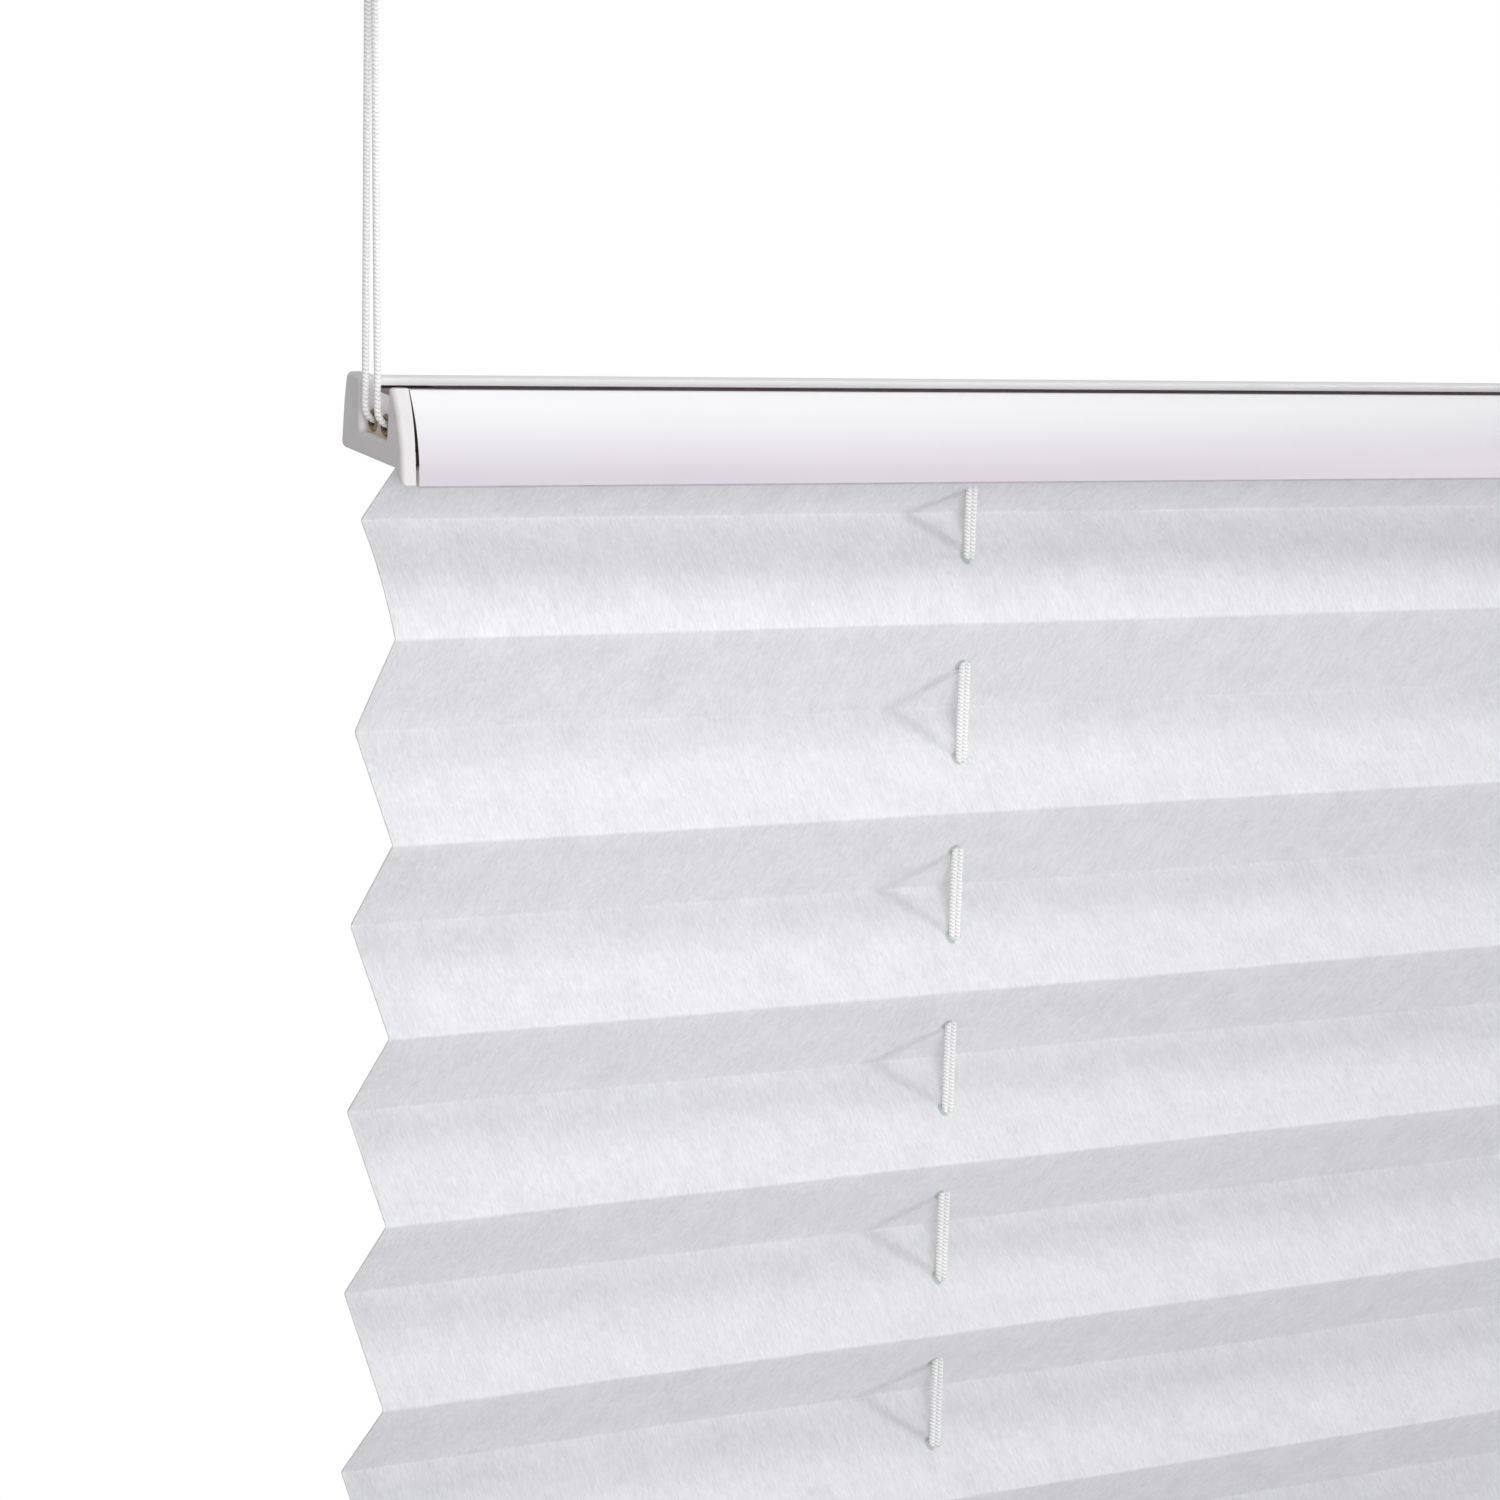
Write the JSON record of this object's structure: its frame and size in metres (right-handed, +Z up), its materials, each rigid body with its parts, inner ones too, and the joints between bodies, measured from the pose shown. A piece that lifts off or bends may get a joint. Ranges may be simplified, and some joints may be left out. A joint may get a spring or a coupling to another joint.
{
  "type": "pleated blind",
  "caption": "Tensioned pleated blind: a folded fabric held between two slim rails that slide up and down on taut cords between shoes screwed to the window frame.",
  "frame": {"origin": "on the upper fixing face, midway between the two upper screw holes", "axes": "+Z up towards the upper fixing face, X along the rails, +Y away from the room towards the window"},
  "size_m": [0.4174, 0.0215, 0.6],
  "materials": {
    "rail": "extruded section, powder coated white, smooth satin",
    "end_cap": "moulded plastic, off-white, matt",
    "eyelet": "hard plastic tube, tan, smooth",
    "guide": "moulded plastic, pale grey",
    "strip": "extruded plastic strip, white",
    "fabric": "white non-woven blind fabric with permanent folds and a fine fibre texture",
    "shoe": "moulded plastic, off-white, matt",
    "holder": "moulded plastic, white",
    "cord": "white braided polyester cord"
  },
  "bodies": {
    "fixings": {"shoe_top_left": "shoe", "shoe_top_right": "shoe", "shoe_bottom_left": "shoe", "shoe_bottom_right": "shoe", "cord_holder_top_left": "holder", "cord_holder_top_right": "holder", "cord_holder_bottom_left": "holder", "cord_holder_bottom_right": "holder", "tension_cord_1": "cord", "tension_cord_2": "cord", "tension_cord_3": "cord", "tension_cord_4": "cord"},
    "top_rail_set": {"top_rail": "rail", "top_end_cap_left": "end_cap", "top_end_cap_right": "end_cap", "top_eyelets_left": "eyelet", "top_eyelets_right": "eyelet", "top_cord_guide_left": "guide", "top_cord_guide_right": "guide", "top_fabric_strip": "strip", "fabric": "fabric"},
    "bottom_rail_set": {"bottom_rail": "rail", "bottom_end_cap_left": "end_cap", "bottom_end_cap_right": "end_cap", "bottom_eyelets_left": "eyelet", "bottom_eyelets_right": "eyelet", "bottom_cord_guide_left": "guide", "bottom_cord_guide_right": "guide", "bottom_fabric_strip": "strip"}
  },
  "joints": [
    {"name": "top_rail_slide", "type": "slide", "parent": "fixings", "child": "top_rail_set", "axis": [0, 0, 1], "range_m": [-0.12, 0.055], "deforming": ["fabric", "tension_cord_1", "tension_cord_2", "tension_cord_3", "tension_cord_4"]},
    {"name": "bottom_rail_slide", "type": "slide", "parent": "fixings", "child": "bottom_rail_set", "axis": [0, 0, 1], "range_m": [0, 0.2], "deforming": ["fabric", "tension_cord_1", "tension_cord_2", "tension_cord_3", "tension_cord_4"]}
  ]
}
